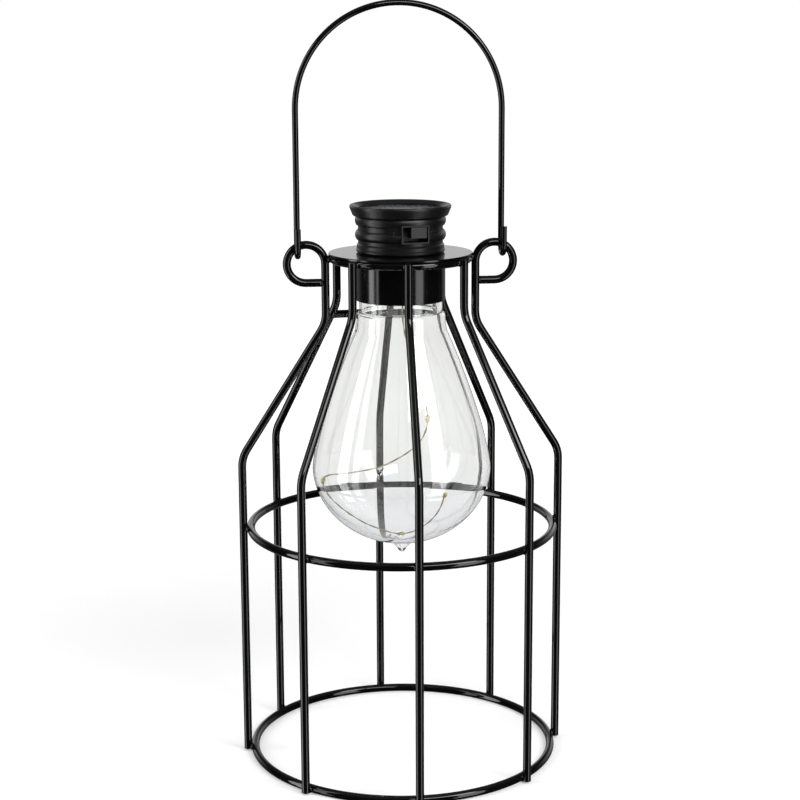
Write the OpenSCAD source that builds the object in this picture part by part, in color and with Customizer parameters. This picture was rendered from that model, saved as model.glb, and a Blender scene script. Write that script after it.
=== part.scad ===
// Solar garden light: a black wire cage lantern with a hanging teardrop bulb, a solar cap and a bail handle.
// Millimetres. The origin is on the ground under the middle of the base ring, with +Z up.
// The two eyes of the handle lie on the X axis, and the switch looks towards -Y.

/* [Cage wire] */
// Diameter of the wire of the rings and uprights
wire_d = 4; // [3.6:0.1:4.4]
// How far two wires sink into each other at a weld
weld_depth = 0.3; // [0.2:0.1:0.4]
// Radius at which the uprights and the eyes are bent
upright_bend_r = 16; // [12:1:20]

/* [Cage] */
// Radius of the base and middle rings, to the middle of the wire
ring_r = 75.3; // [72:0.1:78]
// Height of the middle ring, to the middle of the wire
middle_ring_z = 116.8; // [112:0.1:120]
// Height of the corner where the eye uprights turn in
shoulder_z = 153; // [151:0.1:155]
// Height of the corner where the eye uprights turn up again
upper_corner_z = 219.5; // [218:0.1:221]
// Radius of the eye uprights above the upper corner
upper_r = 36.75; // [36.6:0.05:36.9]
// Height of the corner where the plain uprights turn in
plain_shoulder_z = 155; // [153:0.1:156]
// Height of the corner where the plain uprights turn up again
plain_corner_z = 226; // [224:0.1:227]
// Height of the top of the cage, on which the cap sits
cage_h = 253.5; // [252.5:0.5:254.5]
// Height of the cut ends of the uprights above the ground
foot_gap = 1; // [0.5:0.1:1.5]

/* [Places of the plain uprights] */
// Front left upright, in degrees from +X
front_left_turn = 228; // [226:1:230]
// How far the front left upright's plane is turned about its lower run
front_left_lean = 2; // [0:0.5:4]
// Front upright
front_turn = 270; // [268:1:272]
// Front right upright
front_right_turn = 314; // [312:1:316]
// How far the front right upright's plane is turned about its lower run
front_right_lean = -4.5; // [-5:0.5:0]
// Back right upright
back_right_turn = 47; // [45:1:49]
// How far the back right upright's plane is turned about its lower run
back_right_lean = -3; // [-4:0.5:0]
// Back upright
back_turn = 93; // [91:1:95]
// Back left upright
back_left_turn = 140; // [138:1:142]
// How far the back left upright's plane is turned about its lower run
back_left_lean = -3.5; // [-4:0.5:0]

/* [Neck of the cage] */
// Thickness of the top disc
disc_t = 1; // [0.8:0.1:1.2]
// Radius of the hole in the top disc
disc_hole_r = 19.2; // [19:0.1:19.4]
// Outer radius of the neck sleeve
sleeve_r = 21.8; // [21.7:0.1:22]
// Wall of the neck sleeve
sleeve_wall = 0.8; // [0.6:0.1:0.9]
// Height of the lower edge of the neck sleeve
sleeve_bottom_z = 230.3; // [230:0.1:231]

/* [Eyes and handle] */
// Radius of an eye, to the middle of the wire
eye_r = 9.3; // [9:0.1:9.6]
// Height of the middle of an eye
eye_z = 248.4; // [247.8:0.1:249]
// Diameter of the handle wire
handle_d = 3; // [2.6:0.1:3.2]
// Radius of the handle's round top, and half the distance between its legs
handle_r = 50; // [49.6:0.1:50.2]
// Height of the middle of the handle's round top
handle_arch_z = 322.2; // [314:0.1:328]
// Inside radius of a hook's bend
hook_inner_r = 3.1; // [2.9:0.05:3.3]
// Length of a hook's free end above its bend
hook_end = 8.9; // [6:0.1:12]

/* [Bulb] */
// Largest radius of the bulb
bulb_r = 44.2; // [43:0.1:45]
// Height of the bulb's widest place
bulb_wide_z = 146.5; // [145:0.5:148]
// Depth of the bulb's bowl below its widest place
bowl_h = 38.3; // [37:0.1:39]
// Wall of the bulb
bulb_wall = 1.3; // [1:0.1:1.6]
// Outer radius of the bulb's neck inside the sleeve
bulb_neck_r = 20.4; // [20.3:0.05:20.6]
// Radius of the round shoulder under the sleeve
bulb_shoulder_r = 21.9; // [21.7:0.1:22.2]
// Height at which the shoulder starts to round in
bulb_shoulder_z = 221.5; // [220.5:0.1:222]
// Length of the drawn tip under the bowl
tip_h = 6; // [5:0.1:7]

/* [Solar cap] */
// Radius of the plug that screws into the bulb's neck
plug_r = 18.3; // [18.2:0.05:18.4]
// Height of the plug's lower end
plug_bottom_z = 234.8; // [234.4:0.1:235.6]
// Radius of the cap's foot flange
flange_r = 21.6; // [21.4:0.1:22]
// Radius of the body behind the grooves
core_r = 20.6; // [20.5:0.1:20.8]
// Radius over the round ribs
rib_r = 22.1; // [21.9:0.1:22.3]
// Height of the seam between the body and the rim
seam_z = 271.4; // [271.2:0.1:271.8]
// Radius of the rim at its widest
rim_r = 24.8; // [24.4:0.1:25.2]
// Height of the top of the rim
rim_top_z = 276.8; // [276.6:0.1:277.4]

/* [Switch] */
// How far the switch is turned from -Y towards +X, in degrees
switch_turn = 13; // [9:1:16]
// Height of the middle of the switch window
window_z = 264.2; // [264:0.1:264.4]
// Width of the switch window
window_w = 12.6; // [12.5:0.1:12.8]
// Height of the switch window
window_h = 7.4; // [7.2:0.1:7.5]
// Width of the switch knob
knob_w = 8; // [7.8:0.1:8]
// Height of the switch knob
knob_h = 5.2; // [5:0.1:5.4]

/* [Light string] */
// Diameter of the string's twin wire
string_d = 0.8; // [0.6:0.1:1]
// Diameter of a light bead
bead_d = 2.8; // [2.4:0.1:3]

/* [Hidden] */
$fn = 96;

// Colours of the finishes
paint = "#161616";
steel = "#b9bcc0";
plastic = "#242424";
clear = [0.9, 0.95, 0.97, 0.35];

// Gap between pieces that move past each other
run_gap = 0.3;
// Small overlap that joins shapes inside one piece
bite = 0.2;
// How much thinner a wire's straight runs are than its bends, and how far they reach into them
run_slack = 0.02;
run_reach = 0.1;

// Cage
eye_turns = [0, 180];
front_left = [front_left_turn, front_left_lean];
front = [front_turn, 0];
front_right = [front_right_turn, front_right_lean];
back_right = [back_right_turn, back_right_lean];
back = [back_turn, 0];
back_left = [back_left_turn, back_left_lean];
plain_places = [front_left, front, front_right, back_right, back, back_left];
all_turns = concat(eye_turns, [for (place = plain_places) place[0]]);
upright_r = ring_r + wire_d - weld_depth;
plain_upper_r = upper_r - 0.15;
base_ring_z = wire_d / 2;
top_ring_r = upper_r - wire_d + weld_depth;
disc_bottom_z = cage_h - disc_t;
top_ring_z = disc_bottom_z + 0.2 - wire_d / 2;
disc_r = top_ring_r + wire_d / 2;
disc_chamfer = 0.25;
upright_top_z = disc_bottom_z - 0.4;
brace_z = 219;
plain_fall = (upright_r - plain_upper_r) / (plain_corner_z - plain_shoulder_z);
brace_r = plain_upper_r + (plain_corner_z - brace_z) * plain_fall;
brace_lap = wire_d - 0.1;
brace_overhang = 1.5;

// Eyes and handle
eye_x = upper_r + eye_r;
hook_r = hook_inner_r + handle_d / 2;
hook_offset = handle_r - eye_x;
hinge_z = eye_z + sqrt(eye_r * eye_r - hook_offset * hook_offset);

// Bulb
bowl_swell = 1.9;
bowl_close = 0.5;
flare_rate = 0.0614;
flare_power = 1.386;
bulb_neck_top_z = disc_bottom_z - 0.5;
shoulder_round = 4;
round_r = bulb_shoulder_r - shoulder_round;
crease_turn = acos((bulb_neck_r - round_r) / shoulder_round);
inner_neck_r = bulb_neck_r - bulb_wall - 0.2;
throat_r = bulb_shoulder_r + 0.7;
throat_len = pow((bulb_r - throat_r) / flare_rate, 1 / flare_power);
tip_base_r = 7.2;
curve_steps = 24;
round_steps = 4;

// Cap
flange_z = cage_h + run_gap;
flange_top_z = flange_z + 4.4;
cap_wall = 2;
cavity_r = core_r - cap_wall;
cavity_floor_z = flange_z + 2.6;
plug_wall = 1.5;
plug_inner_r = plug_r - plug_wall;
seal_in_r = plug_r + 0.35;
seal_out_r = seal_in_r + 1.3;
seal_h = 1.3;
low_rib_z = flange_top_z + 4;
high_rib_z = seam_z - 2.2;
low_rib_curve = 3.4;
high_rib_curve = 4;
low_rib_half = 2.3;
high_rib_half = 2.2;
pad_r = rib_r - 0.45;
pad_half_turn = 36;
frame_lip = 0.6;
frame_face = 22.4;
guide_face = 15.9;
guide_w = 19;
board_r = cavity_r - 0.4;
board_z = cavity_floor_z + 1;
board_t = 1.6;
board_top_z = board_z + board_t;
post_r = 2.2;
post_at = plug_inner_r - post_r + 0.4;
screw_r = 0.9;
seat_z = seam_z + 1.6;
panel_r = 20.2;
panel_t = 0.8;
cell_t = 0.25;
cell_count = 6;
cell_gap = 0.6;
cell_field_r = panel_r - 1.4;
cover_z = seat_z + panel_t + cell_t + 0.1;
cover_t = 0.9;
lead_d = 1.2;
panel_lead_x = 3;
panel_lead_y = 11;

// Switch
knob_z = window_z + 0.8;
switch_travel = window_w - knob_w - 0.2;
knob_face = 21.5;
plate_face = guide_face - 0.4;
plate_t = 1;
plate_w = 13.2;
plate_h = 8.6;
lever_back = 11.6;

// Battery
battery_r = 5.25;
battery_len = 28;
battery_nub = 1;
battery_z = 244.4;
contact_t = 0.4;
contact_w = 7;
contact_h = 9;
cover_t_base = 1.6;
cover_bottom_z = plug_bottom_z - cover_t_base;
grommet_y = -9;
grommet_r = 1.6;
grommet_head_r = 2.8;
grommet_head_t = 1;

// Route of the light string, from the grommet into the bulb, and the places of its beads
string_points = [[0, -9, 232.2], [0.5, -8.5, 218], [6, -3, 195.4], [12, 2, 178.2], [13.6, 4, 169.2],
                 [12.4, 5.2, 161.8], [8.6, 5.6, 155.8], [1, 5.2, 150.2], [-11, 4.4, 145], [-26, 3, 142.8],
                 [-35.8, 1.6, 142.4], [-39.2, -1.4, 140.6], [-38, -5.6, 136.2], [-33.6, -8.8, 131],
                 [-26.2, -10, 125], [-16, -9.4, 118.6], [-1, -6, 112.8], [11, 1, 114.2], [19.6, 9, 119.4],
                 [24, 16, 126.4]];
string_steps = 4;
string_sides = 8;
bead_places = [[13.6, 4, 169.2], [-39.2, -1.4, 140.6], [-1, -6, 112.8], [24, 16, 126.4]];

// Point on a circle round the Z axis
function around(r, turn, z) = [r * cos(turn), r * sin(turn), z];
// Place of a leaning upright where it stands at a given distance from the axis before the lean
function leaned(place, r, z) = around(upright_r, place[0], z) - around(upright_r - r, place[0] + place[1], 0);
// Outline of the bulb from the tip's root up to the throat, drawn inwards by a margin
function bowl_point(t, m) = [(bulb_r - m) * pow(1 - pow(t, bowl_swell), bowl_close),
                             bulb_wide_z - t * (bowl_h - m)];
function flare_point(t, m) = [bulb_r - m - flare_rate * pow(t * throat_len, flare_power),
                              bulb_wide_z + t * throat_len];
function bulb_curve(m) = concat([for (i = [curve_steps:-1:1]) bowl_point(sin(90 * i / curve_steps), m)],
                                [for (i = [0:curve_steps]) flare_point(i / curve_steps, m)]);

// Smooth curve through a list of points, and the frame that carries a round section along it
function pick(p, i) = p[max(0, min(len(p) - 1, i))];
function blend(a, b, c, d, t) = 0.5 * (2 * b + (c - a) * t + (2 * a - 5 * b + 4 * c - d) * t * t
                                       + (3 * b - a - 3 * c + d) * t * t * t);
function curve(p, n) = [for (i = [0:len(p) - 2]) for (s = [0:n - 1])
                        blend(pick(p, i - 1), p[i], p[i + 1], pick(p, i + 2), s / n), p[len(p) - 1]];
function unit(v) = v / norm(v);
function heading(q, i) = unit(pick(q, i + 1) - pick(q, i - 1));
function square_to(v, t) = unit(v - (v * t) * t);
function sides_of(q, i = 0, last = [1, 0, 0]) =
    i == len(q) ? [] : let (s = square_to(last, heading(q, i))) concat([s], sides_of(q, i + 1, s));

// A wire of straight runs and bends in the XZ plane. A step is [straight length, turn to +X, bend radius].
// A run is a hair thinner than the bends and reaches a little into them.
module wire_run(steps, d, i = 0) {
    last = i == len(steps) - 1;
    length = steps[i][0];
    turn = steps[i][1];
    r = steps[i][2];
    start = i == 0 ? 0 : run_reach;
    end = last ? 0 : run_reach;
    translate([0, 0, -start]) cylinder(d = d - run_slack, h = length + start + end);
    if (!last)
        translate([0, 0, length]) {
            wire_bend(turn, r, d);
            translate([sign(turn) * r * (1 - cos(turn)), 0, r * sin(abs(turn))])
                rotate([0, turn, 0])
                    wire_run(steps, d, i + 1);
        }
}

// Round bend that starts upwards at the origin and turns towards +X, or towards -X when the turn is negative
module wire_bend(turn, r, d) {
    mirror([turn < 0 ? 1 : 0, 0, 0])
        translate([r, 0, 0])
            rotate([90, 0, 0])
                rotate([0, 0, 180 - abs(turn)])
                    rotate_extrude(angle = abs(turn))
                        translate([r, 0])
                            circle(d = d);
}

module wire_ring(r, z, d) {
    translate([0, 0, z])
        rotate_extrude()
            translate([r, 0])
                circle(d = d);
}

// Straight wire between two points
module wire_between(a, b, d) {
    v = b - a;
    translate(a)
        rotate([0, acos(v.z / norm(v)), atan2(v.y, v.x)])
            cylinder(d = d, h = norm(v));
}

// Ring with the seats that the uprights press into its outside
module seated_ring(r, z, seats) {
    difference() {
        wire_ring(r, z, wire_d);
        for (seat = seats)
            translate([seat.x, seat.y, z - wire_d]) cylinder(d = wire_d, h = 2 * wire_d);
    }
}

module large_ring(z) {
    seated_ring(ring_r, z, [for (turn = all_turns) around(upright_r, turn, z)]);
}

module base_ring() {
    color(paint) large_ring(base_ring_z);
}

module middle_ring() {
    color(paint) large_ring(middle_ring_z);
}

module top_ring() {
    seats = concat([for (turn = eye_turns) around(upper_r, turn, top_ring_z)],
                   [for (place = plain_places) leaned(place, plain_upper_r, top_ring_z)]);
    color(paint)
        difference() {
            seated_ring(top_ring_r, top_ring_z, seats);
            translate([0, 0, disc_bottom_z]) cylinder(r = disc_r + wire_d, h = wire_d);
        }
}

module top_disc() {
    color(paint)
        difference() {
            rotate_extrude()
                polygon([[disc_hole_r, disc_bottom_z], [disc_r, disc_bottom_z],
                         [disc_r, cage_h - disc_chamfer], [disc_r - disc_chamfer, cage_h],
                         [disc_hole_r, cage_h]]);
            for (turn = eye_turns)
                translate(around(upper_r, turn, disc_bottom_z - 1)) cylinder(d = wire_d, h = disc_t + 2);
        }
}

module neck_sleeve() {
    color(paint)
        translate([0, 0, sleeve_bottom_z])
            difference() {
                cylinder(r = sleeve_r, h = disc_bottom_z - sleeve_bottom_z);
                translate([0, 0, -bite])
                    cylinder(r = sleeve_r - sleeve_wall, h = disc_bottom_z - sleeve_bottom_z + 2 * bite);
            }
}

// Slope of an upright between its two corners, and the length that a bend takes from each run it joins
function upright_slope(low_z, high_z, r) = atan((upright_r - r) / (high_z - low_z));
function bend_run(low_z, high_z, r) = upright_bend_r * tan(upright_slope(low_z, high_z, r) / 2);
// Steps of an upright from its foot to its upper bend
function upright_steps(low_z, high_z, r) =
    let (slope = upright_slope(low_z, high_z, r), run = bend_run(low_z, high_z, r))
    [[low_z - foot_gap - run, -slope, upright_bend_r],
     [norm([upright_r - r, high_z - low_z]) - 2 * run, slope, upright_bend_r]];

// Upright wire in the XZ plane, without its welds
module plain_wire() {
    steps = upright_steps(plain_shoulder_z, plain_corner_z, plain_upper_r);
    run = bend_run(plain_shoulder_z, plain_corner_z, plain_upper_r);
    translate([upright_r, 0, foot_gap])
        wire_run(concat(steps, [[upright_top_z - plain_corner_z - run, 0, 0]]), wire_d);
}

module eye_wire() {
    steps = upright_steps(shoulder_z, upper_corner_z, upper_r);
    run = bend_run(shoulder_z, upper_corner_z, upper_r);
    tail = eye_r - wire_d / 2 + 2 * weld_depth;
    translate([upright_r, 0, foot_gap])
        wire_run(concat(steps, [[eye_z - upper_corner_z - run, 270, eye_r], [tail, 0, 0]]), wire_d);
}

// Plain upright at its place, with its plane turned about its lower run
module plain_upright(place) {
    color(paint)
        translate(around(upright_r, place[0], 0))
            rotate([0, 0, place[0] + place[1]])
                translate([-upright_r, 0, 0])
                    plain_wire();
}

module eye_upright(turn) {
    color(paint) rotate([0, 0, turn]) eye_wire();
}

// Straight wire that ties the two outer back uprights together behind the bulb's neck
module back_brace() {
    a = leaned(back_left, brace_r, brace_z) + [0, brace_lap, 0];
    b = leaned(back_right, brace_r, brace_z) + [0, brace_lap, 0];
    over = brace_overhang * unit(b - a);
    color(paint)
        difference() {
            wire_between(a - over, b + over, wire_d);
            plain_upright(back_left);
            plain_upright(back_right);
        }
}

// Hook at the end of one leg: the free end stands in front, and the leg behind
module handle_leg() {
    translate([handle_r, 0, hinge_z]) {
        rotate([0, 0, 90])
            rotate([-90, 0, 0])
                rotate_extrude(angle = 180)
                    translate([hook_r, 0])
                        circle(d = handle_d);
        translate([0, -hook_r, 0]) cylinder(d = handle_d, h = hook_end);
        translate([0, hook_r, 0]) cylinder(d = handle_d, h = handle_arch_z - hinge_z);
    }
}

module bail_handle() {
    color(paint) {
        handle_leg();
        mirror([1, 0, 0]) handle_leg();
        translate([0, hook_r, handle_arch_z])
            rotate([90, 0, 0])
                rotate_extrude(angle = 180)
                    translate([handle_r, 0])
                        circle(d = handle_d);
    }
}

module bulb() {
    tip_z = bulb_wide_z - bowl_h;
    tip_outline = [[0, tip_z - tip_h], [1.2, tip_z - 0.92 * tip_h], [2.6, tip_z - 0.6 * tip_h],
                   [0.7 * tip_base_r, tip_z - 0.1 * tip_h]];
    shoulder = [for (i = [0:round_steps])
                let (turn = crease_turn * i / round_steps)
                [round_r + shoulder_round * cos(turn), bulb_shoulder_z + shoulder_round * sin(turn)]];
    neck = [[bulb_neck_r, bulb_neck_top_z], [inner_neck_r, bulb_neck_top_z], [inner_neck_r, bulb_shoulder_z]];
    inner = bulb_curve(bulb_wall);
    color(clear)
        rotate_extrude()
            polygon(concat(tip_outline, [for (q = bulb_curve(0)) if (q.x > tip_base_r) q], shoulder, neck,
                           [for (i = [len(inner) - 1:-1:0]) inner[i]]));
}

// Seal ring under the cap's flange
module cap_seal() {
    color("#3a3a3a")
        translate([0, 0, flange_z])
            difference() {
                cylinder(r = seal_out_r, h = seal_h);
                translate([0, 0, -bite]) cylinder(r = seal_in_r, h = seal_h + 2 * bite);
            }
}

// Half section of one round rib, cut off level above and below
module rib_section(z, curve_r, half) {
    intersection() {
        translate([rib_r - curve_r, z]) circle(r = curve_r);
        translate([cavity_r + bite, z - half]) square([rib_r, 2 * half]);
    }
}

// Half section of the hollow body with its foot flange and its plug
module housing_section() {
    difference() {
        union() {
            translate([0, plug_bottom_z]) square([plug_r, seam_z - plug_bottom_z]);
            translate([0, flange_z]) square([core_r, seam_z - flange_z]);
            polygon([[0, flange_z], [flange_r - 0.5, flange_z], [flange_r, flange_z + 0.6],
                     [flange_r, flange_z + 1.6], [flange_r - 0.35, flange_z + 2],
                     [flange_r - 0.35, flange_top_z - 0.8], [flange_r - 1, flange_top_z], [0, flange_top_z]]);
            rib_section(low_rib_z, low_rib_curve, low_rib_half);
            rib_section(high_rib_z, high_rib_curve, high_rib_half);
        }
        translate([-1, plug_bottom_z - 1]) square([plug_inner_r + 1, seam_z]);
        translate([-1, cavity_floor_z]) square([cavity_r + 1, seam_z]);
        translate([plug_r, flange_z - 1]) square([seal_out_r + 0.35 - plug_r, seal_h + run_gap + 1]);
    }
}

// Turns what faces -Y to the switch's place
module at_switch() {
    rotate([0, 0, switch_turn]) children();
}

// Block centred across the switch, from one distance to another in front of the axis
module switch_block(w, h, z, back, front) {
    translate([-w / 2, -front, z - h / 2]) cube([w, front - back, h]);
}

module cap_housing() {
    frame_w = window_w + 2 * frame_lip;
    frame_h = window_h + 2 * frame_lip;
    color(plastic)
        difference() {
            union() {
                rotate_extrude() housing_section();
                at_switch() {
                    rotate([0, 0, -90 - pad_half_turn])
                        rotate_extrude(angle = 2 * pad_half_turn)
                            translate([cavity_r + bite, low_rib_z])
                                square([pad_r - cavity_r - bite, high_rib_z - low_rib_z]);
                    switch_block(frame_w, frame_h, window_z, guide_face + 2, frame_face);
                    intersection() {
                        switch_block(guide_w, frame_h + 1.2, window_z, guide_face, core_r);
                        cylinder(r = core_r - bite, h = rim_top_z);
                    }
                }
                for (side = [-1, 1])
                    translate([0, side * post_at, plug_bottom_z])
                        cylinder(r = post_r, h = cavity_floor_z - plug_bottom_z);
                for (turn = [60, 180, 300])
                    translate(around(cavity_r - 0.6, turn, cavity_floor_z - bite))
                        cylinder(r = 1.5, h = board_z - cavity_floor_z + bite);
            }
            at_switch() switch_block(window_w, window_h, window_z, 0, frame_face + 1);
            for (side = [-1, 1])
                translate([0, side * post_at, plug_bottom_z - 1])
                    cylinder(r = screw_r + 0.02, h = 9);
        }
}

// Half section of the flared rim, with the seat of the panel and the skirt that snaps into the body
module rim_section() {
    skirt_r = cavity_r - run_gap;
    polygon([[skirt_r - 1.2, seam_z - 1.8], [skirt_r, seam_z - 1.8], [skirt_r, seam_z], [rim_r - 2.1, seam_z],
             [rim_r - 1.5, seam_z + 0.5], [rim_r - 0.2, rim_top_z - 1.6], [rim_r, rim_top_z - 0.9],
             [rim_r - 0.3, rim_top_z - 0.2], [rim_r - 0.9, rim_top_z], [rim_r - 1.6, rim_top_z - 0.1],
             [panel_r + 0.3, cover_z + cover_t + 0.2], [panel_r + 0.3, seat_z], [skirt_r - 1.2, seat_z]]);
}

module cap_rim() {
    color(plastic) rotate_extrude() rim_section();
}

module solar_panel() {
    color("#1c2430")
        translate([0, 0, seat_z])
            difference() {
                cylinder(r = panel_r, h = panel_t);
                for (side = [-1, 1])
                    translate([side * panel_lead_x, panel_lead_y, -1])
                        cylinder(d = lead_d + 0.2, h = 1 + panel_t / 2);
            }
}

// Dark strips of silicon across the panel
module solar_cells() {
    pitch = 2 * cell_field_r / cell_count;
    color("#0e1a33")
        translate([0, 0, seat_z + panel_t])
            intersection() {
                cylinder(r = cell_field_r, h = cell_t);
                for (i = [0:cell_count - 1])
                    translate([-cell_field_r + i * pitch + cell_gap / 2, -cell_field_r, 0])
                        cube([pitch - cell_gap, 2 * cell_field_r, cell_t]);
            }
}

module panel_cover() {
    color(clear) translate([0, 0, cover_z]) cylinder(r = panel_r, h = cover_t);
}

// Pair of leads from the panel down to the board
module panel_leads() {
    color("#a01818")
        for (side = [-1, 1])
            translate([side * panel_lead_x, panel_lead_y, board_top_z])
                cylinder(d = lead_d, h = seat_z - board_top_z);
}

module circuit_board() {
    color("#1d5c34")
        translate([0, 0, board_z])
            difference() {
                cylinder(r = board_r, h = board_t);
                for (turn = [120, 240])
                    translate(around(board_r, turn, -1)) cylinder(r = 1.4, h = board_t + 2);
            }
}

// Driver chip, coil and capacitor on the board
module board_components() {
    color("#303030")
        translate([0, 0, board_top_z]) {
            translate([-8, 3, 0]) cube([5, 4, 1.6]);
            translate([9, 6, 0]) cylinder(r = 2.5, h = 4.5);
            translate([-9, -4, 0]) cylinder(r = 2, h = 6);
        }
}

// Body of the slide switch, with the slot in which its lever runs
module switch_body() {
    color("#8c8f92")
        at_switch()
            difference() {
                translate([-5, -13.4, board_top_z]) cube([10, 5, knob_z + 2.6 - board_top_z]);
                switch_block(switch_travel + 3.2, 2.8, knob_z, lever_back - run_gap, 14);
            }
}

module switch_lever() {
    color("#101010")
        at_switch()
            translate([switch_travel / 2, 0, 0])
                switch_block(2, 2, knob_z, lever_back, plate_face - plate_t);
}

// Outer knob with the plate that keeps it behind the window
module switch_slider() {
    color("#4a4c4e")
        at_switch()
            translate([switch_travel / 2, 0, 0]) {
                switch_block(plate_w, plate_h, window_z, plate_face - plate_t, plate_face);
                switch_block(knob_w, knob_h, knob_z, plate_face - bite, knob_face);
            }
}

module battery() {
    color("#2f7a43")
        translate([-battery_len / 2, 0, battery_z])
            rotate([0, 90, 0]) {
                cylinder(r = battery_r, h = battery_len);
                translate([0, 0, battery_len - bite]) cylinder(r = 1.9, h = battery_nub + bite);
            }
}

// Saddle that holds the cell above the cover
module battery_cradle() {
    cradle_l = 18;
    cradle_w = 11;
    color(plastic)
        difference() {
            translate([-cradle_l / 2, -cradle_w / 2, plug_bottom_z])
                cube([cradle_l, cradle_w, battery_z - plug_bottom_z - 1]);
            translate([-cradle_l, 0, battery_z]) rotate([0, 90, 0]) cylinder(r = battery_r, h = 2 * cradle_l);
        }
}

// Contact plates at the two ends of the cell
module battery_contacts() {
    low = battery_z - contact_h / 2;
    color(steel)
        for (x = [battery_len / 2 + battery_nub, -battery_len / 2 - contact_t])
            translate([x, -contact_w / 2, low]) cube([contact_t, contact_w, contact_h]);
}

// Leads from the outer sides of the contacts up to the board
module battery_leads() {
    out = contact_t + lead_d / 2;
    color("#202020")
        for (x = [battery_len / 2 + battery_nub + out, -battery_len / 2 - out])
            translate([x, 0, battery_z]) cylinder(d = lead_d, h = board_z - battery_z);
}

module base_cover() {
    color(plastic)
        translate([0, 0, cover_bottom_z])
            difference() {
                cylinder(r = plug_r, h = cover_t_base);
                for (side = [-1, 1])
                    translate([0, side * post_at, -1]) cylinder(r = screw_r + 0.1, h = cover_t_base + 2);
                translate([0, grommet_y, -1]) cylinder(r = grommet_r, h = cover_t_base + 2);
            }
}

// The two screws of the cover share one piece group
module cover_screws() {
    color(steel)
        for (side = [-1, 1])
            translate([0, side * post_at, cover_bottom_z]) {
                cylinder(r = screw_r, h = cover_t_base + 6);
                translate([0, 0, -0.9]) cylinder(r = 1.8, h = 0.9);
            }
}

// Soft bush in which the light string leaves the cap
module string_grommet() {
    color("#101010")
        translate([0, grommet_y, cover_bottom_z - grommet_head_t])
            difference() {
                union() {
                    cylinder(r = grommet_head_r, h = grommet_head_t);
                    cylinder(r = grommet_r, h = grommet_head_t + cover_t_base);
                }
                translate([0, 0, grommet_head_t]) cylinder(d = string_d + 0.1, h = cover_t_base + 1);
            }
}

// The string's stretch inside the cap, from the grommet up to the board
module string_leads() {
    color("#b87333")
        translate([0, grommet_y, cover_bottom_z])
            cylinder(d = string_d, h = board_z - cover_bottom_z);
}

module led_string() {
    q = curve(string_points, string_steps);
    s = sides_of(q);
    n = len(q);
    rim = [for (i = [0:n - 1]) for (a = [0:string_sides - 1])
           let (u = s[i], w = cross(heading(q, i), u), turn = 360 * a / string_sides)
           q[i] + string_d / 2 * (cos(turn) * u + sin(turn) * w)];
    wall = [for (i = [0:n - 2]) for (a = [0:string_sides - 1])
            let (b = (a + 1) % string_sides, k = i * string_sides)
            each [[k + a, k + string_sides + a, k + b], [k + b, k + string_sides + a, k + string_sides + b]]];
    ends = [for (a = [1:string_sides - 2]) each [[0, a, a + 1],
            [(n - 1) * string_sides, (n - 1) * string_sides + a + 1, (n - 1) * string_sides + a]]];
    color("#c7a46a") polyhedron(rim, concat(wall, ends));
}

module led_beads() {
    color("#f2d38a")
        for (p = bead_places)
            translate(p) sphere(d = bead_d);
}

base_ring();
middle_ring();
top_ring();
top_disc();
neck_sleeve();
back_brace();
plain_upright(front_left);  // upright_front_left
plain_upright(front);  // upright_front
plain_upright(front_right);  // upright_front_right
plain_upright(back_right);  // upright_back_right
plain_upright(back);  // upright_back
plain_upright(back_left);  // upright_back_left
eye_upright(eye_turns[1]);  // eye_upright_left
eye_upright(eye_turns[0]);  // eye_upright_right
bail_handle();
bulb();
cap_seal();
cap_housing();
cap_rim();
solar_panel();
solar_cells();
panel_cover();
panel_leads();
circuit_board();
board_components();
switch_body();
switch_lever();
switch_slider();
battery();
battery_cradle();
battery_contacts();
battery_leads();
base_cover();
cover_screws();
string_grommet();
string_leads();
led_string();
led_beads();
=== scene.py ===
# %% [markdown]
# # Solar garden light
# The cage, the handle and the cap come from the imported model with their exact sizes.
# This lesson adds what only a renderer needs: the light string in the bulb, smooth clear glass,
# welds, threads and small marks, and a finish for every piece.

import bpy
import numpy as np
from mathutils import Euler, Matrix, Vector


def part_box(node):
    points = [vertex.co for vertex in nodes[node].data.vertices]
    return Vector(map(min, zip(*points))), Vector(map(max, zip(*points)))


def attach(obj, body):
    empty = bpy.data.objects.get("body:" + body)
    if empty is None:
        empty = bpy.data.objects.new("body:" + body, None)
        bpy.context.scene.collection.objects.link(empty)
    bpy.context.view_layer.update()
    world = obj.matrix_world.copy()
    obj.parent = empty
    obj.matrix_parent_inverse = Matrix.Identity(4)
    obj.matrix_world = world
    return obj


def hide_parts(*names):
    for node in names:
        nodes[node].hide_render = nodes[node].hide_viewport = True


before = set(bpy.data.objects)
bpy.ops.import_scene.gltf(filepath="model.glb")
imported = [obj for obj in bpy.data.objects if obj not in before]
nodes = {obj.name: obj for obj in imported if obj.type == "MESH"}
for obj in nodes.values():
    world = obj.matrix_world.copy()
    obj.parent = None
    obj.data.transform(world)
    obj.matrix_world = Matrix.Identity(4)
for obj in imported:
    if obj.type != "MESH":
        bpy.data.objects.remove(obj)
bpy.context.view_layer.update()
MM = 0.001
print("pieces from the packed model:", len(nodes))

# %% [markdown]
# ## Camera
# The light is seen from a little above the cap, slightly to the left of the switch. The camera
# could be moved by hand until the view fits. Here its numbers follow from how the rings open up
# as ellipses, so that every run gives the same frame. A long lens keeps the uprights nearly
# parallel.

# %% Camera
CAM_TURN = -5.82
CAM_DISTANCE = 0.9
CAM_HEIGHT = 0.3674
CAM_PITCH = 11.78
CAM_ROLL = -0.26
CAM_LENS = 83.72
CAM_SENSOR = 36
CAM_SHIFT = -0.0015, 0.0006
CAM_NEAR = 0.01


def into_scene(name, data):
    """New object that holds the given data, linked into the scene."""
    thing = bpy.data.objects.new(name, data)
    bpy.context.scene.collection.objects.link(thing)
    return thing


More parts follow.
